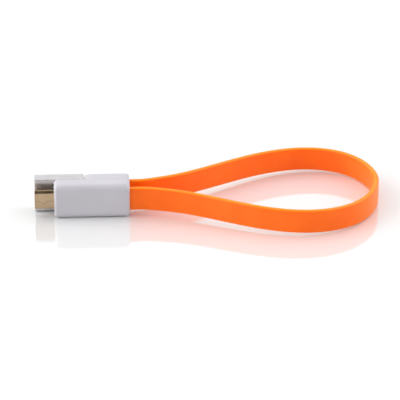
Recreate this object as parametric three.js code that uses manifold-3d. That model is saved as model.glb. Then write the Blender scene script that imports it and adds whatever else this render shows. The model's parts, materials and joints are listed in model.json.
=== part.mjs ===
// A short flat charging cable that folds into a loop: a USB-A plug and a micro-USB plug on one flat cord.
// Millimetres, +Z up. The origin is on the resting surface, under the middle of the two folded ends.
// +X runs from the plugs to the far end of the loop. The USB-A end lies on the +Y side, the micro-USB end on -Y.

import * as THREE from 'three';
import { mergeVertices } from 'three/addons/utils/BufferGeometryUtils.js';
import Module from 'manifold-3d';

const wasm = await Module();
wasm.setup();

// ---------------------------------------------------------------- driving dimensions

const PLUG_TIP_X = -16.2;
const CORD_SIDE_X = 16.2;
const HOUSING_HEIGHT = 12.4;
const HOUSING_DEPTH = 5.2;
const MATING_GAP = 0.3;
const USB_HOUSING_LENGTH = 15.2;
const MICRO_HOUSING_LENGTH = 25.8;
const EDGE_RADIUS = 1.2;
const CORNER_RADIUS = 1.4;
const WALL = 0.8;
const LID_THICKNESS = 0.8;
const FIT_GAP = 0.1;

const MID_Z = HOUSING_HEIGHT / 2;
const MATING_Y = MATING_GAP / 2;
const OUTER_Y = MATING_Y + HOUSING_DEPTH;

const USB_WIDTH = 12;
const USB_THICKNESS = 4.5;
const USB_SHEET = 0.3;
const USB_CENTRE_Y = 2.75;
const USB_NECK_WIDTH = 9.8;
const USB_NECK_THICKNESS = 3;
const USB_CORNER_RADIUS = 0.65;
const GRIP_WINDOW = 2.5;
const GRIP_WINDOW_X = -9.15;
const GRIP_WINDOW_Z = 3;
const TONGUE_THICKNESS = 1.85;

const MICRO_WIDTH = 6.85;
const MICRO_THICKNESS = 1.8;
const MICRO_SHEET = 0.22;
const MICRO_CENTRE_Y = -2.55;
const MICRO_CHAMFER = 0.75;
const FOLD_SEAM_WIDTH = 0.06;
const FOLD_SEAM_Z = -0.2;

const CORD_WIDTH = 8.5;
const CORD_THICKNESS = 1.8;
const CORD_EDGE = 0.45;
const CORD_Y = 3;
const CORD_STEP = 3.5;
const CORD_DROOP = 1.9;
const JOINT_GAP = 0.3;
const JOIN_OVERLAP = 0.05;

// Half of the cord's route, from a housing to the far end of the loop; the other half mirrors it.
// The whole loop then leans to the USB-A side, by up to LOOP_LEAN at its far end.
const HALF_ROUTE = [
  [16.5, CORD_Y], [21, 3.1], [26, 4.2], [33.5, 6.6], [40.5, 9.9], [47.5, 13.7], [54, 17.2], [61, 20.5],
  [68.5, 23], [76, 24.1], [84, 23.2], [91, 20], [96.5, 14.5], [99.9, 7.5],
];
const LOOP_END = [101.2, 0];
const LOOP_LEAN = 5.8;
const LOOP_SPLIT_SHARE = 0.39;

// ---------------------------------------------------------------- materials

const finish = (color, roughness, metalness) => new THREE.MeshStandardMaterial({ color, roughness, metalness });
const WHITE_PLASTIC = [0xe9e9ee, 0.38, 0];
const STEEL = [0xc9c9cc, 0.25, 1];
const GOLD = [0xc9a36a, 0.28, 1];
const BLACK_PLASTIC = [0x1c1b1b, 0.5, 0];
const NATURAL_PLASTIC = [0xdad8cf, 0.55, 0];
const MAGNET_NICKEL = [0xb4b2ac, 0.3, 1];
const ORANGE_RUBBER = [0xff5f16, 0.45, 0];
const WIRE_COLOURS = { red: 0xb3201c, white: 0xe8e6e0, green: 0x1f7a3d, black: 0x1a1a1a };

// ---------------------------------------------------------------- helpers

const group = new THREE.Group();

function put(name, geometry, [color, roughness, metalness]) {
  const mesh = new THREE.Mesh(geometry, finish(color, roughness, metalness));
  mesh.name = name;
  group.add(mesh);
}

function solid(geometry) {
  const bare = geometry.clone();
  bare.deleteAttribute('normal');
  bare.deleteAttribute('uv');
  const merged = mergeVertices(bare, 1e-4);
  const vertProperties = new Float32Array(merged.attributes.position.array);
  const triVerts = new Uint32Array(merged.index.array);
  return new wasm.Manifold(new wasm.Mesh({ numProp: 3, vertProperties, triVerts }));
}

function geometryOf(body) {
  const mesh = body.getMesh();
  const geometry = new THREE.BufferGeometry();
  geometry.setAttribute('position', new THREE.BufferAttribute(mesh.vertProperties, 3));
  geometry.setIndex(new THREE.BufferAttribute(mesh.triVerts, 1));
  geometry.computeVertexNormals();
  return geometry;
}

// A box between two corners, given as [low, high] along each axis.
function box([x0, x1], [y0, y1], [z0, z1]) {
  const geometry = new THREE.BoxGeometry(x1 - x0, y1 - y0, z1 - z0);
  geometry.translate((x0 + x1) / 2, (y0 + y1) / 2, (z0 + z1) / 2);
  return geometry;
}

const around = (centre, size) => [centre - size / 2, centre + size / 2];

function outlineOf(points) {
  return new THREE.Shape(points.map(([u, v]) => new THREE.Vector2(u, v)));
}

// The points of a quarter round about (u, v), from the angle `turn` quarter turns round.
function quarterRound(u, v, radius, turn, pieces = 4) {
  return Array.from({ length: pieces + 1 }, (_, i) => {
    const angle = (turn + i / pieces) * Math.PI / 2;
    return [u + radius * Math.cos(angle), v + radius * Math.sin(angle)];
  });
}

function roundedOutline([u0, u1], [v0, v1], radius) {
  return outlineOf([
    ...quarterRound(u0 + radius, v0 + radius, radius, 2),
    ...quarterRound(u1 - radius, v0 + radius, radius, 3),
    ...quarterRound(u1 - radius, v1 - radius, radius, 0),
    ...quarterRound(u0 + radius, v1 - radius, radius, 1),
  ]);
}

// Extrudes an outline drawn in (y, z) from x0 to x1.
function alongX(shape, [x0, x1]) {
  const geometry = new THREE.ExtrudeGeometry(shape, { depth: x1 - x0, bevelEnabled: false });
  const yzToXyz = new THREE.Matrix4().makeBasis(
    new THREE.Vector3(0, 1, 0), new THREE.Vector3(0, 0, 1), new THREE.Vector3(1, 0, 0));
  geometry.applyMatrix4(yzToXyz);
  geometry.translate(x0, 0, 0);
  return geometry;
}

// Extrudes an outline drawn in (x, z) from y0 to y1, with its edges rounded at both ends.
function alongY(shape, [y0, y1], rounding) {
  const geometry = new THREE.ExtrudeGeometry(shape, {
    depth: y1 - y0 - 2 * rounding,
    bevelThickness: rounding,
    bevelSize: rounding,
    bevelOffset: -rounding,
    bevelSegments: 4,
  });
  const xzToXyz = new THREE.Matrix4().makeBasis(
    new THREE.Vector3(1, 0, 0), new THREE.Vector3(0, 0, 1), new THREE.Vector3(0, -1, 0));
  geometry.applyMatrix4(xzToXyz);
  geometry.translate(0, y1 - rounding, 0);
  return geometry;
}

// A round bar along a smooth curve through the points.
function tube(points, diameter, steps, sides = 8) {
  const path = new THREE.CatmullRomCurve3(points.map((p) => new THREE.Vector3(...p)));
  const ring = Array.from({ length: sides }, (_, i) => {
    const angle = (2 * Math.PI * i) / sides;
    return [Math.cos(angle) * diameter / 2, Math.sin(angle) * diameter / 2];
  });
  return new THREE.ExtrudeGeometry(outlineOf(ring), { steps, extrudePath: path, bevelEnabled: false });
}

function cut(body, ...tools) {
  return tools.reduce((rest, tool) => rest.subtract(solid(tool)), body);
}

// ---------------------------------------------------------------- housings

// The span of y that starts `near` and ends `far` from the mating plane, on the side +1 or -1.
const ySpan = (side, near, far) => (side > 0 ? [near, far] : [-far, -near]);

// A tray that is open towards the mating plane, with a slot for the cord and a mouth for the plug.
function housingTray(side, outline, startX, plugMouth) {
  const reach = OUTER_Y + 2 * EDGE_RADIUS;
  const block = solid(alongY(outline, ySpan(side, OUTER_Y - reach, OUTER_Y), EDGE_RADIUS));
  const beyondPlane = box([startX - 1, CORD_SIDE_X + 1], ySpan(side, -2 * OUTER_Y, MATING_Y), [-1, HOUSING_HEIGHT + 1]);
  const hollow = box(
    [startX + WALL, CORD_SIDE_X - WALL],
    ySpan(side, 0, OUTER_Y - WALL),
    [WALL, HOUSING_HEIGHT - WALL],
  );
  const cordSlot = alongX(
    roundedOutline(around(side * CORD_Y, CORD_THICKNESS + 3 * FIT_GAP), around(MID_Z, CORD_WIDTH + 3 * FIT_GAP), CORD_EDGE),
    [CORD_SIDE_X - 2 * WALL, CORD_SIDE_X + 1],
  );
  return geometryOf(cut(block, beyondPlane, hollow, cordSlot, plugMouth));
}

// The lid closes the tray at the mating plane.
function housingLid(side, startX) {
  const inset = WALL + FIT_GAP;
  return box(
    [startX + inset, CORD_SIDE_X - inset],
    ySpan(side, MATING_Y, MATING_Y + LID_THICKNESS),
    [inset, HOUSING_HEIGHT - inset],
  );
}

const USB_HOUSING_X = CORD_SIDE_X - USB_HOUSING_LENGTH;
const MICRO_HOUSING_X = CORD_SIDE_X - MICRO_HOUSING_LENGTH;

// The USB-A housing's plug end tapers down to the plug shell.
function usbHousingOutline() {
  const taperLength = 2.2;
  const taperDrop = 0.35;
  return outlineOf([
    [USB_HOUSING_X, taperDrop],
    [USB_HOUSING_X + taperLength, 0],
    ...quarterRound(CORD_SIDE_X - CORNER_RADIUS, CORNER_RADIUS, CORNER_RADIUS, 3),
    ...quarterRound(CORD_SIDE_X - CORNER_RADIUS, HOUSING_HEIGHT - CORNER_RADIUS, CORNER_RADIUS, 0),
    [USB_HOUSING_X + taperLength, HOUSING_HEIGHT],
    [USB_HOUSING_X, HOUSING_HEIGHT - taperDrop],
  ]);
}

function usbHousing() {
  const mouth = box(
    [USB_HOUSING_X - 1, USB_HOUSING_X + 2 * WALL],
    around(USB_CENTRE_Y, USB_NECK_THICKNESS + 2 * FIT_GAP),
    around(MID_Z, USB_NECK_WIDTH + 2 * FIT_GAP),
  );
  put('usb_a_housing', housingTray(1, usbHousingOutline(), USB_HOUSING_X, mouth), WHITE_PLASTIC);
  put('usb_a_housing_lid', housingLid(1, USB_HOUSING_X), WHITE_PLASTIC);
}

function microHousing() {
  const outline = roundedOutline([MICRO_HOUSING_X, CORD_SIDE_X], [0, HOUSING_HEIGHT], CORNER_RADIUS);
  const mouth = alongX(microOutline(-FIT_GAP), [MICRO_HOUSING_X - 1, MICRO_HOUSING_X + 2 * WALL]);
  put('micro_usb_housing', housingTray(-1, outline, MICRO_HOUSING_X, mouth), WHITE_PLASTIC);
  put('micro_usb_housing_lid', housingLid(-1, MICRO_HOUSING_X), WHITE_PLASTIC);
}

// ---------------------------------------------------------------- USB-A plug

const USB_BACK_X = USB_HOUSING_X - JOINT_GAP;
const USB_NECK_END_X = USB_HOUSING_X + 4.2;
const USB_BASE_X = -4.5;
const USB_TAIL_END_X = USB_NECK_END_X + 1.6;
const TONGUE_TOP_Y = USB_CENTRE_Y + USB_THICKNESS / 2 - USB_SHEET - FIT_GAP;
const TONGUE_FACE_Y = TONGUE_TOP_Y - TONGUE_THICKNESS;
const TONGUE_SETBACK = 0.4;
const TONGUE_SIDE_PLAY = 0.4;
const USB_CONTACT_WIDTH = 1;
const USB_CONTACT_THICKNESS = 0.25;
const USB_CONTACTS = [
  { name: 'usb_a_contact_power', z: 3.5, start: -15.2 },
  { name: 'usb_a_contact_data_minus', z: 1, start: -14.2 },
  { name: 'usb_a_contact_data_plus', z: -1, start: -14.2 },
  { name: 'usb_a_contact_ground', z: -3.5, start: -15.2 },
];

function usbShell() {
  const sleeve = (inset, span) => alongX(
    roundedOutline(
      around(USB_CENTRE_Y, USB_THICKNESS - 2 * inset),
      around(MID_Z, USB_WIDTH - 2 * inset),
      USB_CORNER_RADIUS - inset,
    ), span);
  const neck = (inset, span) => box(
    span,
    around(USB_CENTRE_Y, USB_NECK_THICKNESS - 2 * inset),
    around(MID_Z, USB_NECK_WIDTH - 2 * inset),
  );
  const outside = solid(sleeve(0, [PLUG_TIP_X, USB_BACK_X]))
    .add(solid(neck(0, [USB_BACK_X - USB_SHEET, USB_NECK_END_X])));
  const windows = [-1, 1].map((hand) => box(
    around(GRIP_WINDOW_X, GRIP_WINDOW),
    around(USB_CENTRE_Y, USB_THICKNESS + 1),
    around(MID_Z + hand * GRIP_WINDOW_Z, GRIP_WINDOW),
  ));
  put('usb_a_plug_shell', geometryOf(cut(
    outside,
    sleeve(USB_SHEET, [PLUG_TIP_X - 1, USB_BACK_X - USB_SHEET]),
    neck(USB_SHEET, [USB_BACK_X - 1, USB_NECK_END_X + 1]),
    ...windows,
  )), STEEL);
}

function usbTongue() {
  const inset = USB_SHEET + FIT_GAP;
  const width = USB_WIDTH - 2 * inset - TONGUE_SIDE_PLAY;
  const tongue = box([PLUG_TIP_X + TONGUE_SETBACK, USB_BASE_X], [TONGUE_FACE_Y, TONGUE_TOP_Y], around(MID_Z, width));
  const base = box(
    [USB_BASE_X, USB_BACK_X - USB_SHEET - FIT_GAP],
    around(USB_CENTRE_Y, USB_THICKNESS - 2 * inset),
    around(MID_Z, width),
  );
  const stem = box(
    [USB_BACK_X - USB_SHEET - 2 * FIT_GAP, USB_NECK_END_X],
    around(USB_CENTRE_Y, USB_NECK_THICKNESS - 2 * inset),
    around(MID_Z, USB_NECK_WIDTH - 2 * inset),
  );
  const body = solid(tongue).add(solid(base)).add(solid(stem));
  const grooves = USB_CONTACTS.map(({ z, start }) => box(
    [start - FIT_GAP, USB_BASE_X + FIT_GAP],
    [TONGUE_FACE_Y - 1, TONGUE_FACE_Y + USB_CONTACT_THICKNESS + FIT_GAP],
    around(MID_Z + z, USB_CONTACT_WIDTH + 2 * FIT_GAP),
  ));
  const channels = USB_CONTACTS.map(({ z }) => box(
    [USB_BASE_X - 1, USB_NECK_END_X + 1],
    [TONGUE_FACE_Y - FIT_GAP, TONGUE_FACE_Y + USB_CONTACT_THICKNESS + FIT_GAP],
    around(MID_Z + z, USB_CONTACT_WIDTH + 2 * FIT_GAP),
  ));
  put('usb_a_tongue', geometryOf(cut(body, ...grooves, ...channels)), NATURAL_PLASTIC);
}

function usbContacts() {
  for (const { name, z, start } of USB_CONTACTS) {
    put(name, box(
      [start, USB_TAIL_END_X],
      [TONGUE_FACE_Y, TONGUE_FACE_Y + USB_CONTACT_THICKNESS],
      around(MID_Z + z, USB_CONTACT_WIDTH),
    ), GOLD);
  }
}

// ---------------------------------------------------------------- micro-USB plug

const MICRO_SHELL_END_X = MICRO_HOUSING_X + 4.8;
const MICRO_WIDE_Y = MICRO_CENTRE_Y + MICRO_THICKNESS / 2;
const MICRO_NARROW_Y = MICRO_CENTRE_Y - MICRO_THICKNESS / 2;
const MICRO_BASE_X = MICRO_HOUSING_X + 2;
const MICRO_TAIL_END_X = MICRO_SHELL_END_X + 1.4;
const MICRO_CONTACT_PITCH = 0.65;
const MICRO_CONTACT_WIDTH = 0.36;
const MICRO_CONTACT_THICKNESS = 0.15;
const MICRO_CONTACT_GAP = 0.05;
const MICRO_CONTACT_FACE_Y = MICRO_CENTRE_Y - 0.05;
const MICRO_CONTACT_NAMES = ['power', 'data_minus', 'data_plus', 'identity', 'ground'];
const LATCH_Z = 2.45;
const LATCH_WIDTH = 0.5;
const LATCH_THICKNESS = 0.25;
const LATCH_HOOK_X = -14.3;
const LATCH_WINDOW_LENGTH = 1.7;
const LATCH_RISE = 0.4;
const LATCH_ARM_TIP = -1.2;
const LATCH_RAMP = [-0.65, 0.1];
const LATCH_CATCH = [0.45, 0.6];
const INSULATOR_WIDTH = 3.8;
const INSULATOR_SETBACK = 0.3;
const MICRO_CONTACT_SETBACK = 0.7;

// The plug's section: its wide side faces the other end, and its two far corners are cut off.
function microOutline(inset) {
  const wide = MICRO_WIDE_Y - inset;
  const narrow = MICRO_NARROW_Y + inset;
  const half = MICRO_WIDTH / 2 - inset;
  const chamfer = MICRO_CHAMFER - 0.4 * inset;
  return outlineOf([
    [wide, MID_Z - half], [wide, MID_Z + half],
    [narrow + chamfer, MID_Z + half], [narrow, MID_Z + half - chamfer],
    [narrow, MID_Z - half + chamfer], [narrow + chamfer, MID_Z - half],
  ]);
}

function microShell() {
  const latchWindows = [-1, 1].map((hand) => box(
    around(LATCH_HOOK_X, LATCH_WINDOW_LENGTH),
    around(MICRO_WIDE_Y, 1),
    around(MID_Z + hand * LATCH_Z, LATCH_WIDTH + 2 * FIT_GAP),
  ));
  const foldSeam = box(
    [PLUG_TIP_X - 1, MICRO_SHELL_END_X + 1],
    [MICRO_NARROW_Y - 1, MICRO_NARROW_Y + 2 * MICRO_SHEET],
    around(MID_Z + FOLD_SEAM_Z, FOLD_SEAM_WIDTH),
  );
  put('micro_usb_plug_shell', geometryOf(cut(
    solid(alongX(microOutline(0), [PLUG_TIP_X, MICRO_SHELL_END_X])),
    alongX(microOutline(MICRO_SHEET), [PLUG_TIP_X - 1, MICRO_SHELL_END_X + 1]),
    ...latchWindows,
    foldSeam,
  )), GOLD);
}

const microContactZ = (index) => MID_Z + (2 - index) * MICRO_CONTACT_PITCH;

function microInsulator() {
  const inset = MICRO_SHEET + MICRO_CONTACT_GAP;
  const floor = MICRO_NARROW_Y + inset;
  const core = box(
    [PLUG_TIP_X + INSULATOR_SETBACK, MICRO_BASE_X + 1],
    [floor, MICRO_CONTACT_FACE_Y],
    around(MID_Z, INSULATOR_WIDTH),
  );
  const base = alongX(microOutline(inset), [MICRO_BASE_X, MICRO_SHELL_END_X - 2 * FIT_GAP]);
  const channels = MICRO_CONTACT_NAMES.map((_, index) => box(
    [PLUG_TIP_X + MICRO_CONTACT_SETBACK - FIT_GAP, MICRO_SHELL_END_X + 1],
    [MICRO_CONTACT_FACE_Y - MICRO_CONTACT_THICKNESS - MICRO_CONTACT_GAP, MICRO_CONTACT_FACE_Y + MICRO_CONTACT_GAP],
    around(microContactZ(index), MICRO_CONTACT_WIDTH + 2 * MICRO_CONTACT_GAP),
  ));
  put('micro_usb_insulator', geometryOf(cut(solid(core).add(solid(base)), ...channels)), BLACK_PLASTIC);
}

function microContacts() {
  MICRO_CONTACT_NAMES.forEach((name, index) => {
    put(`micro_usb_contact_${name}`, box(
      [PLUG_TIP_X + MICRO_CONTACT_SETBACK, MICRO_TAIL_END_X],
      [MICRO_CONTACT_FACE_Y - MICRO_CONTACT_THICKNESS, MICRO_CONTACT_FACE_Y],
      around(microContactZ(index), MICRO_CONTACT_WIDTH),
    ), GOLD);
  });
}

// A sprung arm behind the wide side, with a ramped hook that stands out through the shell's window.
function latch(hand, name) {
  const top = MICRO_WIDE_Y - MICRO_SHEET - FIT_GAP;
  const rise = MICRO_WIDE_Y + LATCH_RISE;
  const rootX = MICRO_BASE_X - 2 * FIT_GAP;
  const [tipX, rampX, crestX, catchX, heelX] = [LATCH_ARM_TIP, ...LATCH_RAMP, ...LATCH_CATCH].map(
    (offset) => LATCH_HOOK_X + offset);
  const profile = outlineOf([
    [tipX, top - LATCH_THICKNESS], [rootX, top - LATCH_THICKNESS], [rootX, top], [heelX, top],
    [catchX, rise], [crestX, rise], [rampX, top], [tipX, top],
  ]);
  const geometry = new THREE.ExtrudeGeometry(profile, { depth: LATCH_WIDTH, bevelEnabled: false });
  geometry.translate(0, 0, MID_Z + hand * LATCH_Z - LATCH_WIDTH / 2);
  put(name, geometry, STEEL);
}

// ---------------------------------------------------------------- inside the housings

const MAGNET_SIZE = [8, 0.7, 8];
const MAGNET_X = 11.1;
const MAGNET_NEAR_Y = MATING_Y + LID_THICKNESS + FIT_GAP;
const USB_JACKET_X = 11.4;
const MICRO_JACKET_X = 6.4;
const CLAMP_SETBACK = 0.6;
const CLAMP_LENGTH = 2.2;
const CLAMP_GROWTH = 0.55;
const WIRE_DIAMETER = 0.9;
const WIRE_PITCH = 1.9;
const WIRE_STRAIGHT_SHARE = 0.3;
const WIRE_ROUGHNESS = 0.5;
const MICRO_TAIL_PITCH = 1.05;
const CARRIER_BASE = 0.3;
const CARRIER_RAIL = 0.7;

function magnet(side, name) {
  const [length, thickness, height] = MAGNET_SIZE;
  put(name, box(
    around(MAGNET_X, length),
    ySpan(side, MAGNET_NEAR_Y, MAGNET_NEAR_Y + thickness),
    around(MID_Z, height),
  ), MAGNET_NICKEL);
}

// A band crimped round the jacket's end, so that a pull on the cord doesn't reach the wires.
function cordClamp(side, jacketX, name) {
  const span = [jacketX + CLAMP_SETBACK, jacketX + CLAMP_SETBACK + CLAMP_LENGTH];
  const band = (grow) => roundedOutline(
    around(side * CORD_Y, CORD_THICKNESS + grow), around(MID_Z, CORD_WIDTH + grow), CORD_EDGE);
  const outer = solid(alongX(band(CLAMP_GROWTH), span));
  put(name, geometryOf(cut(outer, alongX(band(2 * FIT_GAP), [span[0] - 1, span[1] + 1]))), STEEL);
}

// A shallow tray against the outer wall, which holds the wires apart from the housing.
function wireCarrier(side, [x0, x1], name) {
  const wallY = OUTER_Y - WALL - FIT_GAP;
  const railY = CORD_Y - CORD_THICKNESS / 2;
  const height = HOUSING_HEIGHT - 2 * WALL - 2 * FIT_GAP;
  const tray = solid(box([x0, x1], ySpan(side, railY, wallY), around(MID_Z, height)));
  const trough = box([x0 - 1, x1 + 1], ySpan(side, 0, wallY - CARRIER_BASE), around(MID_Z, height - 2 * CARRIER_RAIL));
  put(name, geometryOf(cut(tray, trough)), NATURAL_PLASTIC);
}

// Four insulated wires fan out from the jacket's end to the solder tails.
function wires(side, prefix, jacketX, tailX, tailY, tailZ) {
  Object.entries(WIRE_COLOURS).forEach(([colour, tint], index) => {
    const cordZ = MID_Z + (1.5 - index) * WIRE_PITCH;
    const reach = jacketX - tailX;
    put(`${prefix}_wire_${colour}`, tube([
      [tailX + JOINT_GAP, tailY, tailZ[index]],
      [tailX + WIRE_STRAIGHT_SHARE * reach, tailY, tailZ[index]],
      [jacketX - WIRE_STRAIGHT_SHARE * reach, side * CORD_Y, cordZ],
      [jacketX - JOINT_GAP, side * CORD_Y, cordZ],
    ], WIRE_DIAMETER, 8), [tint, WIRE_ROUGHNESS, 0]);
  });
}

function usbInside() {
  magnet(1, 'usb_a_magnet');
  cordClamp(1, USB_JACKET_X, 'usb_a_cord_clamp');
  wireCarrier(1, [USB_NECK_END_X + 2 * FIT_GAP, USB_JACKET_X], 'usb_a_wire_carrier');
  const tailZ = USB_CONTACTS.map(({ z }) => MID_Z + z);
  wires(1, 'usb_a', USB_JACKET_X, USB_TAIL_END_X, TONGUE_FACE_Y + USB_CONTACT_THICKNESS / 2, tailZ);
}

function microInside() {
  magnet(-1, 'micro_usb_magnet');
  cordClamp(-1, MICRO_JACKET_X, 'micro_usb_cord_clamp');
  wireCarrier(-1, [MICRO_SHELL_END_X + 2 * FIT_GAP, MICRO_JACKET_X], 'micro_usb_wire_carrier');
  const tailZ = [1.5, 0.5, -0.5, -1.5].map((place) => MID_Z + MICRO_TAIL_PITCH * place);
  wires(-1, 'micro_usb', MICRO_JACKET_X, MICRO_TAIL_END_X, MICRO_CONTACT_FACE_Y, tailZ);
}

// ---------------------------------------------------------------- flat cord

// How far along the loop a place lies, from 0 at the housings to 1 at the loop's far end.
const shareOfLoop = (x) => THREE.MathUtils.clamp((x - CORD_SIDE_X) / (LOOP_END[0] - CORD_SIDE_X), 0, 1);

const mirrored = HALF_ROUTE.map(([x, y]) => [x, -y]).reverse();
const route = new THREE.CatmullRomCurve3([...HALF_ROUTE, LOOP_END, ...mirrored].map(
  ([x, y]) => new THREE.Vector3(x, y + LOOP_LEAN * shareOfLoop(x), MID_Z)));
route.arcLengthDivisions = 2000;
const ROUTE_LENGTH = route.getLength();

// Part of the route, given by its shares of the route's length.
class Stretch extends THREE.Curve {
  constructor(from, to) {
    super();
    this.from = from;
    this.to = to;
  }

  getPoint(t, target = new THREE.Vector3()) {
    return target.copy(route.getPointAt(THREE.MathUtils.lerp(this.from, this.to, t)));
  }
}

// The cord stands on its edge. It sinks evenly from the housings until the loop's far end rests on the surface.
function letSink(geometry) {
  const position = geometry.attributes.position;
  for (let i = 0; i < position.count; i += 1) {
    position.setZ(i, position.getZ(i) - CORD_DROOP * shareOfLoop(position.getX(i)));
  }
  return geometry;
}

// Its long edges are cut back in two facets, which stand in for a round of CORD_EDGE.
function cordSection() {
  const wide = CORD_WIDTH / 2;
  const thin = CORD_THICKNESS / 2;
  const quarter = [
    [wide - CORD_EDGE, thin],
    [wide - 0.3 * CORD_EDGE, thin - 0.55 * CORD_EDGE],
    [wide, thin - 1.4 * CORD_EDGE],
  ];
  const half = [...quarter, ...quarter.map(([u, v]) => [u, -v]).reverse()];
  return outlineOf([...half, ...half.map(([u, v]) => [-u, -v])]);
}

function cordStretch(name, from, to) {
  const steps = Math.round(((to - from) * ROUTE_LENGTH) / CORD_STEP);
  const geometry = new THREE.ExtrudeGeometry(cordSection(), {
    steps,
    extrudePath: new Stretch(from, to),
    bevelEnabled: false,
  });
  return { name, geometry: letSink(geometry) };
}

// The jacket's end runs on through the housing's slot, level and straight, to the clamp.
function withJacketEnd({ name, geometry }, side, jacketX) {
  const [startX] = HALF_ROUTE[0];
  const end = alongX(
    roundedOutline(around(side * CORD_Y, CORD_THICKNESS), around(MID_Z, CORD_WIDTH), CORD_EDGE),
    [jacketX, startX + JOIN_OVERLAP],
  );
  return { name, geometry: geometryOf(solid(geometry).add(solid(end))) };
}

function cord() {
  const gap = JOINT_GAP / 2 / ROUTE_LENGTH;
  const stretches = [
    withJacketEnd(cordStretch('cord_usb_a_side', 0, LOOP_SPLIT_SHARE - gap), 1, USB_JACKET_X),
    cordStretch('cord_loop_end', LOOP_SPLIT_SHARE + gap, 1 - LOOP_SPLIT_SHARE - gap),
    withJacketEnd(cordStretch('cord_micro_usb_side', 1 - LOOP_SPLIT_SHARE + gap, 1), -1, MICRO_JACKET_X),
  ];
  for (const { name, geometry } of stretches) {
    put(name, geometry, ORANGE_RUBBER);
  }
}

// ---------------------------------------------------------------- assembly

usbShell();
usbTongue();
usbContacts();
usbHousing();
usbInside();
microShell();
microInsulator();
microContacts();
latch(1, 'micro_usb_latch_upper');
latch(-1, 'micro_usb_latch_lower');
microHousing();
microInside();
cord();

export default group;
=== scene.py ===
"""A short flat charging cable, folded into a loop with its two plug ends side by side.

Metres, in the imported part's frame: +X from the plugs to the loop's far end, +Y the USB-A side, +Z up.
"""

import json
import math

import bmesh
import bpy
from mathutils import Matrix, Vector


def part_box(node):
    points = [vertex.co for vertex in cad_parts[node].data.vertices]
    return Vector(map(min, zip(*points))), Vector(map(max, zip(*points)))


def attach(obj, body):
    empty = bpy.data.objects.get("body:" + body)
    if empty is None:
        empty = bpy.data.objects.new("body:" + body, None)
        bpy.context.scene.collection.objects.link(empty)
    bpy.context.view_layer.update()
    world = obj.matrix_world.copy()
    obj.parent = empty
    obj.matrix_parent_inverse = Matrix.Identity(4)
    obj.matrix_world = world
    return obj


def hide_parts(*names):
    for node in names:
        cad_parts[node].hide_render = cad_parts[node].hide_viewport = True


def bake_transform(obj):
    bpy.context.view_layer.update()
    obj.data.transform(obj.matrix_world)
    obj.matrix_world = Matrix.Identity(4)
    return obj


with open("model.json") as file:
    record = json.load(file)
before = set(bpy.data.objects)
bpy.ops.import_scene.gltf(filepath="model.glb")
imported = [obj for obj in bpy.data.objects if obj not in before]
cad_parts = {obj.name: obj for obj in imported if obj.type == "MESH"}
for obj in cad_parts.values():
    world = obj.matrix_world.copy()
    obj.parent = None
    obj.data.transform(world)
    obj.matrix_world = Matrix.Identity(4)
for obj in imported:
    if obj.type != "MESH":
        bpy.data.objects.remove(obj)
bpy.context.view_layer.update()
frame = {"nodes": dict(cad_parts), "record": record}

MM = 0.001

# ---------------------------------------------------------------- driving dimensions

CORD_WIDTH = 8.5 * MM
CORD_THICKNESS = 1.8 * MM
CORD_EDGE = 0.62 * MM
CORD_Y = 3.0 * MM
CORD_DROOP = 1.9 * MM
CORD_STEP = 0.6 * MM
LOOP_LEAN = 5.8 * MM
FLOOR_GAP = 0.02 * MM

# Half of the cord's route from a housing to the loop's far end, (x, y) in millimetres; the other half
# mirrors it.
HALF_ROUTE = [
    (16.5, 3.0), (21, 3.1), (26, 4.2), (33.5, 6.6), (40.5, 9.9), (47.5, 13.7), (54, 17.2), (61, 20.5),
    (68.5, 23), (76, 24.1), (84, 23.2), (91, 20), (96.5, 14.5), (99.9, 7.5),
]
LOOP_END = (101.2, 0)

usb_low, usb_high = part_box("usb_a_housing")
micro_low, micro_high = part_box("micro_usb_housing")
CORD_SIDE_X = usb_high.x
MID_Z = usb_high.z / 2

# ---------------------------------------------------------------- node material helpers


# Nearly all of a noise texture's values lie between these two.
NOISE_LOW = 0.3
NOISE_HIGH = 0.7

# The height of a unit normal up to which a face counts as upright, and from which it counts as level.
UPRIGHT_BELOW = 0.3
LEVEL_ABOVE = 0.8


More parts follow.
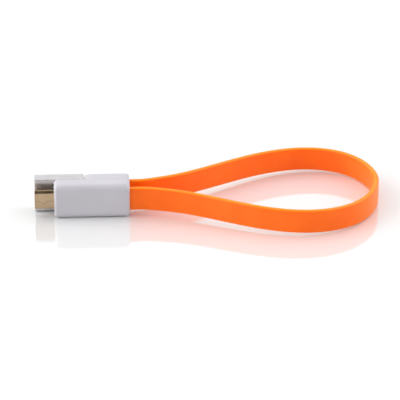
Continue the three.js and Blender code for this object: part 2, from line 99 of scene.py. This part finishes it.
class Nodes:
    """Builds a material's node tree with short calls."""

    def __init__(self, name):
        self.material = bpy.data.materials.new(name)
        self.material.use_nodes = True
        self.tree = self.material.node_tree
        self.shader = self.tree.nodes["Principled BSDF"]
        coordinates = self.tree.nodes.new("ShaderNodeTexCoord")
        self.place = coordinates.outputs["Object"]

    def add(self, kind, inputs=None, **settings):
        node = self.tree.nodes.new(kind)
        for key, value in settings.items():
            setattr(node, key, value)
        for key, value in (inputs or {}).items():
            self.give(node.inputs[key], value)
        return node

    def give(self, socket, value):
        if isinstance(value, bpy.types.NodeSocket):
            self.tree.links.new(value, socket)
        else:
            socket.default_value = value

    def stretched(self, scale):
        """The place, scaled unevenly, so that noise on it makes streaks."""
        return self.add("ShaderNodeMapping", {"Vector": self.place, "Scale": scale}).outputs["Vector"]

    def noise(self, scale, detail=3.0, roughness=0.5, vector=None):
        inputs = {"Vector": vector or self.place, "Scale": scale, "Detail": detail, "Roughness": roughness}
        return self.add("ShaderNodeTexNoise", inputs).outputs["Fac"]

    def speckle(self, scale):
        return self.add("ShaderNodeTexVoronoi", {"Vector": self.place, "Scale": scale}).outputs["Distance"]

    def ramp(self, value, low=NOISE_LOW, high=NOISE_HIGH, low_out=0.0, high_out=1.0):
        inputs = {"Value": value, "From Min": low, "From Max": high, "To Min": low_out, "To Max": high_out}
        return self.add("ShaderNodeMapRange", inputs).outputs["Result"]

    def mixed(self, share, colour_a, colour_b):
        node = self.add("ShaderNodeMix", data_type="RGBA")
        colours = [socket for socket in node.inputs if socket.type == "RGBA"]
        for socket, value in zip([node.inputs[0], *colours], (share, colour_a, colour_b)):
            self.give(socket, value)
        return next(out for out in node.outputs if out.type == "RGBA")

    def sum(self, *values):
        total = values[0]
        for value in values[1:]:
            total = self.add("ShaderNodeMath", {0: total, 1: value}, operation="ADD").outputs[0]
        return total

    def times(self, value, factor):
        return self.add("ShaderNodeMath", {0: value, 1: factor}, operation="MULTIPLY").outputs[0]

    def edge_wear(self, sharpness=0.56, spread=0.12):
        """1 along outer edges, 0 elsewhere."""
        pointed = self.add("ShaderNodeNewGeometry").outputs["Pointiness"]
        return self.ramp(pointed, sharpness, sharpness + spread)

    def level_faces(self):
        """1 where the surface faces up or down, 0 where it stands upright."""
        normal = self.add("ShaderNodeTexCoord").outputs["Normal"]
        height = self.add("ShaderNodeSeparateXYZ", {0: normal}).outputs["Z"]
        steepness = self.add("ShaderNodeMath", {0: height}, operation="ABSOLUTE").outputs[0]
        return self.ramp(steepness, UPRIGHT_BELOW, LEVEL_ABOVE)

    def bump(self, height, distance, strength=1.0, normal=None):
        inputs = {"Height": height, "Distance": distance, "Strength": strength}
        if normal:
            inputs["Normal"] = normal
        return self.add("ShaderNodeBump", inputs).outputs["Normal"]

    def finish(self, **sockets):
        for name, value in sockets.items():
            self.give(self.shader.inputs[name.replace("_", " ")], value)
        return self.material


def rgb(red, green, blue):
    return (red, green, blue, 1.0)


def brighter(colour, factor):
    return rgb(*(min(1, factor * channel) for channel in colour[:3]))


# ---------------------------------------------------------------- materials


def cord_rubber():
    """Soft-touch jacket with a painted highlight: amber on its narrow edges, which face up and down; its drawn
    lines run along the cord.
    """
    orange_dark, orange_light = rgb(0.98, 0.136, 0.002), rgb(1.0, 0.156, 0.004)
    # Painted highlight: this amber colour stands in for the light that falls on the cord's narrow edges.
    painted_highlight_amber, painted_highlight_share = rgb(1.0, 0.26, 0.006), 0.72
    line_height, grain_height = 0.02 * MM, 0.012 * MM
    m = Nodes("orange_rubber")
    lines = m.noise(1.0, 2.0, vector=m.stretched((70, 70, 2600)))
    clouds = m.noise(140, 2.0)
    grain = m.noise(5200, 3.0, 0.6)
    tint = m.mixed(m.ramp(clouds), orange_dark, orange_light)
    # Painted highlight: faces that face up or down are tinted amber.
    tint = m.mixed(m.times(m.level_faces(), painted_highlight_share), tint, painted_highlight_amber)
    uneven = m.sum(m.ramp(grain, low_out=0.0, high_out=0.10), m.ramp(clouds, low_out=0.3, high_out=0.4))
    fine = m.bump(grain, grain_height, 0.5)
    drawn = m.bump(lines, line_height, 0.6, fine)
    return m.finish(
        Base_Color=tint, Roughness=uneven, Normal=drawn, IOR=1.45, Specular_IOR_Level=0.3,
        Subsurface_Weight=0.1, Subsurface_Radius=(1.0, 0.3, 0.1), Subsurface_Scale=0.5 * MM,
        Sheen_Weight=0.4, Sheen_Roughness=0.4, Sheen_Tint=rgb(1.0, 0.6, 0.14),
    )


def moulded_plastic(name, dark, light, roughness, grain_size=0.09 * MM, soft=0.08):
    """Injection-moulded plastic with the fine spark-eroded grain of its mould and slightly rubbed edges."""
    rubbed_share, rubbed_smoother, grain_height = 0.3, 0.08, 0.012 * MM
    m = Nodes(name)
    clouds = m.noise(90, 3.0)
    grain = m.noise(1 / grain_size, 2.0, 0.55)
    rubbed = m.edge_wear()
    tint = m.mixed(m.ramp(clouds), dark, light)
    tint = m.mixed(m.times(rubbed, rubbed_share), tint, brighter(light, 1.12))
    uneven = m.sum(
        m.ramp(clouds, low_out=roughness - 0.03, high_out=roughness + 0.05),
        m.times(rubbed, -rubbed_smoother),
    )
    return m.finish(
        Base_Color=tint, Roughness=uneven, Normal=m.bump(grain, grain_height, 0.45), IOR=1.5,
        Subsurface_Weight=soft, Subsurface_Radius=(1.0, 0.95, 0.9), Subsurface_Scale=0.6 * MM,
    )


def plated_metal(name, dark, light, roughness, along=(180, 5200, 5200)):
    """Sheet metal drawn along X, then plated: fine lengthwise lines, small pits and bright rubbed edges."""
    rubbed_share, rubbed_smoother = 0.1, 0.02
    line_roughness, line_height, pit_depth = 0.04, 0.004 * MM, 0.002 * MM
    m = Nodes(name)
    lines = m.noise(1.0, 4.0, 0.65, vector=m.stretched(along))
    clouds = m.noise(320, 3.0)
    pits = m.speckle(1900)
    rubbed = m.edge_wear(0.54, 0.16)
    tint = m.mixed(m.ramp(clouds), dark, light)
    tint = m.mixed(m.times(rubbed, rubbed_share), tint, brighter(light, 1.1))
    uneven = m.sum(
        m.ramp(lines, low_out=roughness - line_roughness, high_out=roughness + line_roughness),
        m.ramp(clouds, 0.35, 0.65, 0.0, 0.04),
        m.times(rubbed, -rubbed_smoother),
    )
    drawn = m.bump(lines, line_height, 0.2)
    pitted = m.bump(m.ramp(pits, 0.0, 0.12), pit_depth, 0.08, drawn)
    return m.finish(Base_Color=tint, Roughness=uneven, Metallic=1.0, Normal=pitted)


def wire_insulation(name, dark, light):
    return moulded_plastic(name, dark, light, roughness=0.42, grain_size=0.2 * MM, soft=0.02)


SLOT_MATERIALS = {
    "housing_plastic": moulded_plastic(
        "white_plastic", rgb(0.478, 0.464, 0.502), rgb(0.512, 0.498, 0.538), 0.38),
    "cord_jacket": cord_rubber(),
    "steel": plated_metal(
        "nickel_plated_steel", rgb(0.66, 0.64, 0.655), rgb(0.72, 0.70, 0.715), 0.33),
    "gold_plate": plated_metal("gold_plate", rgb(0.46, 0.335, 0.205), rgb(0.54, 0.40, 0.255), 0.2),
    "black_plastic": moulded_plastic(
        "black_plastic", rgb(0.016, 0.015, 0.015), rgb(0.026, 0.025, 0.024), 0.5),
    "natural_plastic": moulded_plastic(
        "natural_plastic", rgb(0.64, 0.62, 0.55), rgb(0.70, 0.68, 0.61), 0.5),
    "magnet_nickel": plated_metal(
        "magnet_nickel", rgb(0.50, 0.49, 0.46), rgb(0.60, 0.59, 0.56), 0.3, along=(900, 900, 900)),
    "wire_red": wire_insulation("wire_red", rgb(0.42, 0.012, 0.01), rgb(0.50, 0.02, 0.015)),
    "wire_white": wire_insulation("wire_white", rgb(0.72, 0.70, 0.66), rgb(0.80, 0.78, 0.74)),
    "wire_green": wire_insulation("wire_green", rgb(0.01, 0.17, 0.04), rgb(0.02, 0.22, 0.06)),
    "wire_black": wire_insulation("wire_black", rgb(0.01, 0.01, 0.01), rgb(0.02, 0.02, 0.02)),
}

# ---------------------------------------------------------------- mesh helpers

SHARP_ABOVE = 35
SLEEVE_SHARP_ABOVE = 30
CORD_SHARP_ABOVE = 60
ARC_STEPS = 6
SMALLEST_RADIUS = 0.02 * MM
IN_LINE = 1e-3


def shade(mesh, sharp_above):
    """Smooth shading led by the larger faces, so that flats stay flat.

    Faces that meet at more than sharp_above degrees keep a sharp edge.
    """
    mesh.polygons.foreach_set("use_smooth", [True] * len(mesh.polygons))
    mesh.set_sharp_from_angle(angle=math.radians(sharp_above))
    around = [[] for _ in mesh.vertices]
    for polygon in mesh.polygons:
        for vertex in polygon.vertices:
            around[vertex].append(polygon)
    same_side = math.cos(math.radians(sharp_above))
    normals = []
    for polygon in mesh.polygons:
        for vertex in polygon.vertices:
            total = Vector()
            for other in around[vertex]:
                if other.normal.dot(polygon.normal) > same_side:
                    total += other.normal * other.area
            normals.append(total.normalized() if total.length > 0 else polygon.normal)
    mesh.normals_split_custom_set(normals)


def add_piece(name, mesh_data, slot, body, sharp_above=SHARP_ABOVE):
    """Makes a shaded object from a bmesh, in its slot's material, riding on the body if one is given."""
    mesh = bpy.data.meshes.new(name)
    bmesh.ops.recalc_face_normals(mesh_data, faces=mesh_data.faces)
    mesh_data.to_mesh(mesh)
    mesh_data.free()
    shade(mesh, sharp_above)
    piece = bpy.data.objects.new(name, mesh)
    bpy.context.scene.collection.objects.link(piece)
    mesh.materials.append(SLOT_MATERIALS[slot])
    if body:
        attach(piece, body)
    return piece


def loft(rings, capped=True, closed=False):
    """Joins rings of equally many points with quads.

    capped closes both ends with a face, and closed joins the last ring to the first.
    """
    made = bmesh.new()
    rows = [[made.verts.new(point) for point in ring] for ring in rings]
    pairs = list(zip(rows, rows[1:])) + ([(rows[-1], rows[0])] if closed else [])
    for low, high in pairs:
        for i in range(len(low)):
            j = (i + 1) % len(low)
            made.faces.new((low[i], low[j], high[j], high[i]))
    if capped:
        made.faces.new(reversed(rows[0]))
        made.faces.new(rows[-1])
    return made


def rounded_corners(corners):
    """The outline through (u, v, radius) corners, each rounded with an arc that touches both of its sides."""
    outline = []
    for i, (u, v, radius) in enumerate(corners):
        here = Vector((u, v))
        before = (Vector(corners[i - 1][:2]) - here).normalized()
        after = (Vector(corners[(i + 1) % len(corners)][:2]) - here).normalized()
        half = before.angle(after) / 2
        centre = here + (before + after).normalized() * (radius / math.sin(half))
        first = here + before * (radius / math.tan(half)) - centre
        last = here + after * (radius / math.tan(half)) - centre
        turn = first.angle_signed(last)
        for step in range(ARC_STEPS + 1):
            angle = -turn * step / ARC_STEPS
            spoke = Matrix.Rotation(angle, 2) @ first
            outline.append(centre + spoke)
    return outline


def rectangle(low, high, radius):
    """The corners of a rectangle, all of one radius."""
    (u0, v0), (u1, v1) = low, high
    return [(u0, v0, radius), (u1, v0, radius), (u1, v1, radius), (u0, v1, radius)]


def shrunk(corners, inset, inset_v=None):
    """The outline's corners moved inwards by inset on every side, with their radii made smaller to match.

    inset_v, where it is given, is how far the sides that run along u move instead.
    """
    inset_v = inset if inset_v is None else inset_v
    count = len(corners)
    points = [Vector(corner[:2]) for corner in corners]
    area = sum(points[i].cross(points[(i + 1) % count]) for i in range(count))
    moved = []
    for i, (_, _, radius) in enumerate(corners):
        before = (points[i] - points[i - 1]).normalized()
        after = (points[(i + 1) % count] - points[i]).normalized()
        side = 1 if area > 0 else -1
        inwards_a = Vector((-before.y, before.x)) * side
        inwards_b = Vector((-after.y, after.x)) * side
        move_a = inset * abs(inwards_a.x) + inset_v * abs(inwards_a.y)
        move_b = inset * abs(inwards_b.x) + inset_v * abs(inwards_b.y)
        across = inwards_a.x * inwards_b.y - inwards_a.y * inwards_b.x
        if abs(across) < IN_LINE:
            shift = inwards_a * move_a
        else:
            shift = Vector((
                (move_a * inwards_b.y - move_b * inwards_a.y) / across,
                (inwards_a.x * move_b - inwards_b.x * move_a) / across))
        moved.append((*(points[i] + shift), max(radius - min(inset, inset_v), SMALLEST_RADIUS)))
    return moved


def cut_out(piece, *tools):
    """Subtracts closed tool meshes from the piece, then shades it again."""
    for tool in tools:
        mesh = bpy.data.meshes.new("tool")
        bmesh.ops.recalc_face_normals(tool, faces=tool.faces)
        tool.to_mesh(mesh)
        tool.free()
        cutter = bpy.data.objects.new("tool", mesh)
        bpy.context.scene.collection.objects.link(cutter)
        modifier = piece.modifiers.new("cut", "BOOLEAN")
        modifier.operation = "DIFFERENCE"
        modifier.solver = "EXACT"
        modifier.object = cutter
        depsgraph = bpy.context.evaluated_depsgraph_get()
        cut_mesh = bpy.data.meshes.new_from_object(piece.evaluated_get(depsgraph))
        piece.modifiers.clear()
        old = piece.data
        piece.data = cut_mesh
        cut_mesh.name = piece.name
        bpy.data.meshes.remove(old)
        bpy.data.objects.remove(cutter)
    shade(piece.data, SHARP_ABOVE)


def ring_x(corners, inset, x):
    """A ring at x from an outline in (y, z), moved inwards by inset."""
    return [(x, y, z) for y, z in rounded_corners(shrunk(corners, inset))]


def ring_y(corners, inset, y, inset_v=None):
    """A ring at y from an outline in (x, z), moved inwards by inset."""
    return [(x, y, z) for x, z in rounded_corners(shrunk(corners, inset, inset_v))]


def prism_x(corners, x0, x1):
    """A solid along X from an outline in (y, z)."""
    outline = rounded_corners(corners)
    return loft([[(x, y, z) for y, z in outline] for x in (x0, x1)])


def prism_y(corners, y0, y1):
    """A solid along Y from an outline in (x, z)."""
    outline = rounded_corners(corners)
    return loft([[(x, y, z) for x, z in outline] for y in (y0, y1)])


# ---------------------------------------------------------------- camera

CAMERA_TARGET = Vector((40.23, 0, 3.565)) * MM
CAMERA_DISTANCE = 890.1 * MM
CAMERA_LENS = 234
CAMERA_YAW = math.radians(-2.58)
CAMERA_ELEVATION = math.radians(26.79)


def add_camera():
    """The camera at the photo's angle; back points from the cable to the camera."""
    level = math.cos(CAMERA_ELEVATION)
    back = Vector((
        math.sin(CAMERA_YAW) * level, -math.cos(CAMERA_YAW) * level, math.sin(CAMERA_ELEVATION)))
    data = bpy.data.cameras.new("camera")
    data.sensor_width = 36
    data.lens = CAMERA_LENS
    data.clip_start = 0.05
    camera = bpy.data.objects.new("camera", data)
    bpy.context.scene.collection.objects.link(camera)
    camera.location = CAMERA_TARGET + back * CAMERA_DISTANCE
    camera.rotation_mode = "QUATERNION"
    camera.rotation_quaternion = (-back).to_track_quat("-Z", "Y")
    bpy.context.scene.camera = camera


add_camera()

# ---------------------------------------------------------------- flat cord


def share_of_loop(x):
    """0 at the housings and 1 at the loop's far end."""
    return min(1, max(0, (x - CORD_SIDE_X) / (LOOP_END[0] * MM - CORD_SIDE_X)))


def route_points():
    """The whole route, from the USB-A housing round the loop to the micro-USB housing, seen from above."""
    mirrored = [(x, -y) for x, y in reversed(HALF_ROUTE)]
    points = [Vector((x, y)) * MM for x, y in [*HALF_ROUTE, LOOP_END, *mirrored]]
    return [point + Vector((0, LOOP_LEAN * share_of_loop(point.x))) for point in points]


def smooth_line(points):
    """A centripetal Catmull-Rom curve through the points."""
    per_span = 40
    outer = [2 * points[0] - points[1], *points, 2 * points[-1] - points[-2]]
    line = []
    for p0, p1, p2, p3 in zip(outer, outer[1:], outer[2:], outer[3:]):
        d0, d1, d2 = (math.sqrt((b - a).length) for a, b in ((p0, p1), (p1, p2), (p2, p3)))
        slope1 = ((p1 - p0) / d0 - (p2 - p0) / (d0 + d1) + (p2 - p1) / d1) * d1
        slope2 = ((p2 - p1) / d1 - (p3 - p1) / (d1 + d2) + (p3 - p2) / d2) * d1
        for step in range(per_span):
            t = step / per_span
            line.append(
                p1 + slope1 * t + (3 * (p2 - p1) - 2 * slope1 - slope2) * t**2
                + (2 * (p1 - p2) + slope1 + slope2) * t**3)
    return [*line, points[-1]]


def evenly(line, step):
    """The line again, with an even number of equal steps, so that one of its points is its middle."""
    reached = [0.0]
    for a, b in zip(line, line[1:]):
        reached.append(reached[-1] + (b - a).length)
    count = 2 * round(reached[-1] / step / 2)
    spaced, i = [], 0
    for k in range(count + 1):
        at = reached[-1] * k / count
        while i < len(line) - 2 and reached[i + 1] < at:
            i += 1
        spaced.append(line[i].lerp(line[i + 1], (at - reached[i]) / (reached[i + 1] - reached[i])))
    return spaced


def cord_section():
    """(outwards, upwards) places round the cord: two slightly crowned faces and round edges."""
    wide, thin = CORD_WIDTH / 2, CORD_THICKNESS / 2
    crown, face_steps, edge_steps = 0.05 * MM, 8, 7
    face_end = wide - CORD_EDGE
    face = [face_end * (2 * i / face_steps - 1) for i in range(face_steps + 1)]
    outer = [(thin - crown * (up / face_end) ** 2, up) for up in face]
    reach = thin - crown
    top = []
    for i in range(1, edge_steps):
        angle = math.pi * i / edge_steps
        top.append((reach * math.cos(angle), face_end + CORD_EDGE * math.sin(angle)))
    half = [*outer, *top]
    return half + [(-u, -v) for u, v in half]


def cord_rings(line, tangents):
    """The jacket's rings along the line, and the middle of each."""
    section = cord_section()
    rings, middle = [], []
    for point, tangent in zip(line, tangents):
        centre = Vector((point.x, point.y, MID_Z - CORD_DROOP * share_of_loop(point.x)))
        outwards = Vector((-tangent.y, tangent.x, 0))
        middle.append(centre)
        rings.append([centre + outwards * u + Vector((0, 0, v)) for u, v in section])
    return rings, middle


def cord_half(name, line, tangents, nodes):
    """One half of the cord, from its housing to the loop's far end."""
    rings, middle = cord_rings(line, tangents)
    piece = add_piece(name, loft(rings), "cord_jacket", None, CORD_SHARP_ABOVE)
    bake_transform(piece)
    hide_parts(*nodes)


def flat_cord():
    """The cord as two halves that meet at the loop's far end, each running on into its housing."""
    line = evenly(smooth_line(route_points()), CORD_STEP)
    steps = [(b - a).normalized() for a, b in zip(line, line[1:])]
    inner = [(a + b).normalized() for a, b in zip(steps, steps[1:])]
    tangents = [Vector((1, 0)), *inner, Vector((-1, 0))]
    usb_start = Vector((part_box("cord_usb_a_side")[0].x, line[0].y))
    micro_end = Vector((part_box("cord_micro_usb_side")[0].x, line[-1].y))
    middle = len(line) // 2
    cord_half(
        "cord_usb_a_half", [usb_start, *line[:middle + 1]], [tangents[0], *tangents[:middle + 1]],
        ("cord_usb_a_side", "cord_loop_end"))
    cord_half(
        "cord_micro_usb_half", [*line[middle:], micro_end], [*tangents[middle:], tangents[-1]],
        ("cord_micro_usb_side",))


flat_cord()

# ---------------------------------------------------------------- housings

WALL = 0.8 * MM
END_ROUND = 1.0 * MM
LONG_ROUND = 2.2 * MM
FACE_ROUND = 1.9 * MM
CORNER_RADIUS = 1.4 * MM
RIM_CHAMFER = 0.05 * MM
RIM_GAP = 0.02 * MM
SLOT_GAP = 0.15 * MM
SLOT_RADIUS = 0.6 * MM


def housing_shell(name, outline, side, far, body, node):
    """A cup open at the mating plane: outer walls, a rounded far face, an even wall and a softened rim.

    side is the sign of its y, and far how far its outer face lies from the mating plane.
    """
    def ring(inset, y, inset_v=None):
        return ring_y(outline, inset, side * y, inset_v)

    near, round_steps = RIM_GAP, 12
    outer_round = []
    for i in range(round_steps + 1):
        angle = math.pi / 2 * i / round_steps
        in_by = 1 - math.cos(angle)
        outer_round.append(
            ring(END_ROUND * in_by, far - FACE_ROUND * (1 - math.sin(angle)), LONG_ROUND * in_by))
    rings = [
        ring(WALL, far - WALL),
        ring(WALL, near + RIM_CHAMFER),
        ring(WALL - RIM_CHAMFER, near),
        ring(RIM_CHAMFER, near),
        ring(0.3 * RIM_CHAMFER, near + 0.3 * RIM_CHAMFER),
        ring(0, near + RIM_CHAMFER),
        *outer_round,
    ]
    piece = add_piece(name, loft(rings), "housing_plastic", body)
    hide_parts(node)
    return piece


def cord_slot(side):
    """The tool that cuts the cord's slot in a housing's end."""
    low = (side * CORD_Y - CORD_THICKNESS / 2 - SLOT_GAP, MID_Z - CORD_WIDTH / 2 - SLOT_GAP)
    high = (side * CORD_Y + CORD_THICKNESS / 2 + SLOT_GAP, MID_Z + CORD_WIDTH / 2 + SLOT_GAP)
    return prism_x(rectangle(low, high, SLOT_RADIUS), CORD_SIDE_X - 2 * WALL, CORD_SIDE_X + WALL)


def usb_housing():
    """The back housing, tapered a little at its plug end."""
    taper_length, taper_drop = 2.2 * MM, 0.35 * MM
    tip_radius, bend_radius = 0.3 * MM, 0.5 * MM
    left, right, top = usb_low.x, usb_high.x, usb_high.z
    outline = [
        (left, taper_drop, tip_radius), (left + taper_length, 0, bend_radius),
        (right, 0, CORNER_RADIUS), (right, top, CORNER_RADIUS),
        (left + taper_length, top, bend_radius), (left, top - taper_drop, tip_radius),
    ]
    piece = housing_shell(
        "usb_a_housing_shell", outline, 1, usb_high.y, "usb_a_end", "usb_a_housing")
    mouth = usb_neck(1.6 * MM, 5.0 * MM)
    cut_out(piece, cord_slot(1), prism_x(mouth, left - WALL, left + 2 * WALL))


def micro_housing():
    """The front housing, a plain box with its mouth the shape of the plug."""
    outline = rectangle((micro_low.x, micro_low.z), (micro_high.x, micro_high.z), CORNER_RADIUS)
    piece = housing_shell(
        "micro_usb_housing_shell", outline, -1, -micro_low.y, "micro_usb_end", "micro_usb_housing")
    plug_gap = 0.1 * MM
    mouth = prism_x(shrunk(micro_corners(), -plug_gap), micro_low.x - WALL, micro_low.x + 2 * WALL)
    cut_out(piece, cord_slot(-1), mouth)


def housing_lid(name, node, body, side):
    """The lid in the mating face, with a shallow round-cornered seat over the magnet."""
    lid_radius, seat_radius, seat_depth, soft = 0.6 * MM, 0.8 * MM, 0.15 * MM, 0.08 * MM
    low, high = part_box(node)
    near, far = sorted((abs(low.y), abs(high.y)))
    outline = rectangle((low.x, low.z), (high.x, high.z), lid_radius)
    magnet_low, magnet_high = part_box(node.replace("housing_lid", "magnet"))
    seat = rectangle((magnet_low.x, magnet_low.z), (magnet_high.x, magnet_high.z), seat_radius)

    def ring(corners, inset, y):
        return ring_y(corners, inset, side * y)

    rings = [
        ring(outline, 0, far),
        ring(outline, 0, near + soft),
        ring(outline, 0.3 * soft, near + 0.3 * soft),
        ring(outline, soft, near),
        ring(seat, 0, near),
        ring(seat, soft, near + 0.7 * seat_depth),
        ring(seat, 2 * soft, near + seat_depth),
    ]
    piece = add_piece(name, loft(rings), "housing_plastic", body)
    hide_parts(node)


# ---------------------------------------------------------------- micro-USB plug

MICRO_SHEET = 0.22 * MM
MICRO_CHAMFER = 0.75 * MM
plug_low, plug_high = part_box("micro_usb_plug_shell")


def micro_corners():
    """The plug's section in (y, z): wide side towards the other end, its far corners cut off."""
    narrow, wide = plug_low.y, plug_high.y
    low, high = plug_low.z, plug_high.z
    bend = 0.22 * MM
    return [
        (wide, low, bend), (wide, high, bend), (narrow + MICRO_CHAMFER, high, bend),
        (narrow, high - MICRO_CHAMFER, bend), (narrow, low + MICRO_CHAMFER, bend),
        (narrow + MICRO_CHAMFER, low, bend),
    ]


def rounded_tip(corners, sheet, x_tip):
    """The rings of a sheet-metal tube's lip, from its outside round the tip to its inside."""
    lip = 0.45 * sheet
    return [
        ring_x(corners, 0, x_tip + lip),
        ring_x(corners, 0.3 * lip, x_tip + 0.3 * lip),
        ring_x(corners, lip, x_tip),
        ring_x(corners, sheet - lip, x_tip),
        ring_x(corners, sheet - 0.3 * lip, x_tip + 0.3 * lip),
        ring_x(corners, sheet, x_tip + lip),
    ]


def fold_seam():
    """The slit where the sheet's two edges meet: straight, with one round key that dips in the middle."""
    seam_z, half_seam = MID_Z - 0.1 * MM, 0.035 * MM
    key_x, key_half, key_depth, steps = -13.2 * MM, 1.9 * MM, 0.85 * MM, 60
    start, end = plug_low.x - 1 * MM, plug_high.x + 1 * MM
    rings = []
    for i in range(steps + 1):
        x = start + (end - start) * i / steps
        across = min(1, abs(x - key_x) / key_half)
        z = seam_z - key_depth * (math.cos(math.pi * across) + 1) / 2
        y0, y1 = plug_low.y - MICRO_SHEET, plug_low.y + 2 * MICRO_SHEET
        below, above = z - half_seam, z + half_seam
        rings.append([(x, y0, below), (x, y1, below), (x, y1, above), (x, y0, above)])
    return loft(rings)


def micro_plug_shell():
    """The folded sheet round the plug, with a window for each latch hook."""
    corners = micro_corners()
    rings = [
        ring_x(corners, 0, plug_high.x), *rounded_tip(corners, MICRO_SHEET, plug_low.x),
        ring_x(corners, MICRO_SHEET, plug_high.x),
    ]
    piece = add_piece(
        "micro_usb_plug_sleeve", loft(rings, capped=False, closed=True), "gold_plate", "micro_usb_end",
        SLEEVE_SHARP_ABOVE)
    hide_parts("micro_usb_plug_shell")
    hook_x, half_window, play = -14.3 * MM, 0.85 * MM, 0.1 * MM
    window_radius, reach = 0.12 * MM, 0.5 * MM
    windows = []
    for latch in ("micro_usb_latch_upper", "micro_usb_latch_lower"):
        low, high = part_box(latch)
        window = rectangle(
            (hook_x - half_window, low.z - play), (hook_x + half_window, high.z + play),
            window_radius)
        windows.append(prism_y(window, plug_high.y - reach, plug_high.y + reach))
    cut_out(piece, *windows, fold_seam())


# ---------------------------------------------------------------- USB-A plug

USB_SHEET = 0.3 * MM
shell_low, shell_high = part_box("usb_a_plug_shell")


def usb_neck(half_thick, half_wide):
    """The outline of the narrower part by which the shell goes into its housing."""
    centre_y = (shell_low.y + shell_high.y) / 2
    return rectangle(
        (centre_y - half_thick, MID_Z - half_wide), (centre_y + half_thick, MID_Z + half_wide),
        0.3 * MM)


def usb_plug_shell():
    """The sheet round the plug, stepped in to its neck at the back, with two windows on each side."""
    neck_step, corner_radius, turn = 0.3 * MM, 0.65 * MM, 0.25 * MM
    back_x = usb_low.x - neck_step
    corners = rectangle((shell_low.y, shell_low.z), (shell_high.y, shell_high.z), corner_radius)
    neck = usb_neck(1.5 * MM, 4.9 * MM)
    rings = [
        ring_x(neck, 0, shell_high.x),
        ring_x(neck, 0, back_x + 0.1 * MM),
        ring_x(neck, 0, back_x),
        ring_x(corners, turn, back_x),
        ring_x(corners, 0.3 * turn, back_x - 0.3 * turn),
        ring_x(corners, 0, back_x - turn),
        *rounded_tip(corners, USB_SHEET, shell_low.x),
        ring_x(corners, USB_SHEET, back_x - USB_SHEET),
        ring_x(neck, USB_SHEET, back_x - USB_SHEET),
        ring_x(neck, USB_SHEET, shell_high.x),
    ]
    piece = add_piece(
        "usb_a_plug_sleeve", loft(rings, capped=False, closed=True), "steel", "usb_a_end",
        SLEEVE_SHARP_ABOVE)
    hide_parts("usb_a_plug_shell")
    window_x, half, window_radius, reach = -9.15 * MM, 1.25 * MM, 0.2 * MM, 0.45 * MM
    windows = []
    for side_y in (shell_low.y, shell_high.y):
        for window_z in (MID_Z - 3 * MM, MID_Z + 3 * MM):
            window = rectangle(
                (window_x - half, window_z - half), (window_x + half, window_z + half),
                window_radius)
            windows.append(prism_y(window, side_y - reach, side_y + reach))
    cut_out(piece, *windows)


usb_housing()
micro_housing()
housing_lid("usb_a_mating_lid", "usb_a_housing_lid", "usb_a_end", 1)
housing_lid("micro_usb_mating_lid", "micro_usb_housing_lid", "micro_usb_end", -1)
micro_plug_shell()
usb_plug_shell()

# ---------------------------------------------------------------- CAD nodes, which keep their shape

for subpart in frame["record"]["subparts"]:
    node = frame["nodes"][subpart["node"]]
    node.data.materials.clear()
    node.data.materials.append(SLOT_MATERIALS[subpart["material_slot"]])

# ---------------------------------------------------------------- floor, light and air


def add_floor():
    """A wide pale floor, glossy enough to mirror the cable faintly."""
    half = 3.0
    places = ((-half, -half), (half, -half), (half, half), (-half, half))
    corners = [(x, y, -FLOOR_GAP) for x, y in places]
    made = bmesh.new()
    made.faces.new([made.verts.new(corner) for corner in corners])
    mesh = bpy.data.meshes.new("floor")
    made.to_mesh(mesh)
    made.free()
    m = Nodes("pale_floor")
    tint = m.mixed(m.noise(4, 2.0), rgb(0.80, 0.80, 0.80), rgb(0.83, 0.83, 0.83))
    mesh.materials.append(m.finish(Base_Color=tint, Roughness=0.06, Metallic=0.25, IOR=1.5))
    floor = bpy.data.objects.new("floor", mesh)
    bpy.context.scene.collection.objects.link(floor)


# Patches of light in the air, which add up: the direction of each, the half angles in degrees where it starts
# and where it is full, and its strength. The first is the even light from all round; a negative one darkens it.
AIR = [
    ((0, 0, 1), 180, 0, 0.92),
    ((0, 0, 1), 75, 20, 0.08),
    ((0, 1, 1), 50, 15, 0.17),
    ((-1, 0, 0.3), 50, 15, 3.0),
    ((1, 0, 0.3), 50, 15, 1.9),
    ((-1, 1, 0.4), 45, 10, 0.3),
    ((1, 1, 0.4), 45, 10, 0.25),
    ((-1, -1, 0.4), 45, 10, 0.15),
    ((0.04, -0.89, 0.45), 22, 10, -0.28),
    ((0.04, -0.42, 0.86), 22, 12, -0.94),
]


def add_air():
    """Soft white light from all round, stronger from both ends, with a dim band in front and above."""
    world = bpy.data.worlds.new("studio")
    world.use_nodes = True
    tree = world.node_tree
    direction = tree.nodes.new("ShaderNodeTexCoord").outputs["Generated"]
    background = tree.nodes["Background"]
    background.inputs["Color"].default_value = rgb(1, 1, 1)
    strength = None
    for aim, outer, inner, amount in AIR:
        facing = tree.nodes.new("ShaderNodeVectorMath")
        facing.operation = "DOT_PRODUCT"
        facing.inputs[1].default_value = Vector(aim).normalized()
        tree.links.new(direction, facing.inputs[0])
        patch = tree.nodes.new("ShaderNodeMapRange")
        patch.interpolation_type = "SMOOTHSTEP"
        for name, value in (
            ("From Min", math.cos(math.radians(outer))), ("From Max", math.cos(math.radians(inner))),
            ("To Min", 0.0), ("To Max", amount),
        ):
            patch.inputs[name].default_value = value
        tree.links.new(facing.outputs["Value"], patch.inputs["Value"])
        if strength is None:
            strength = patch.outputs["Result"]
            continue
        total = tree.nodes.new("ShaderNodeMath")
        total.operation = "ADD"
        tree.links.new(strength, total.inputs[0])
        tree.links.new(patch.outputs["Result"], total.inputs[1])
        strength = total.outputs[0]
    tree.links.new(strength, background.inputs["Strength"])
    bpy.context.scene.world = world
    bpy.context.scene.view_settings.view_transform = "Standard"


add_floor()
add_air()
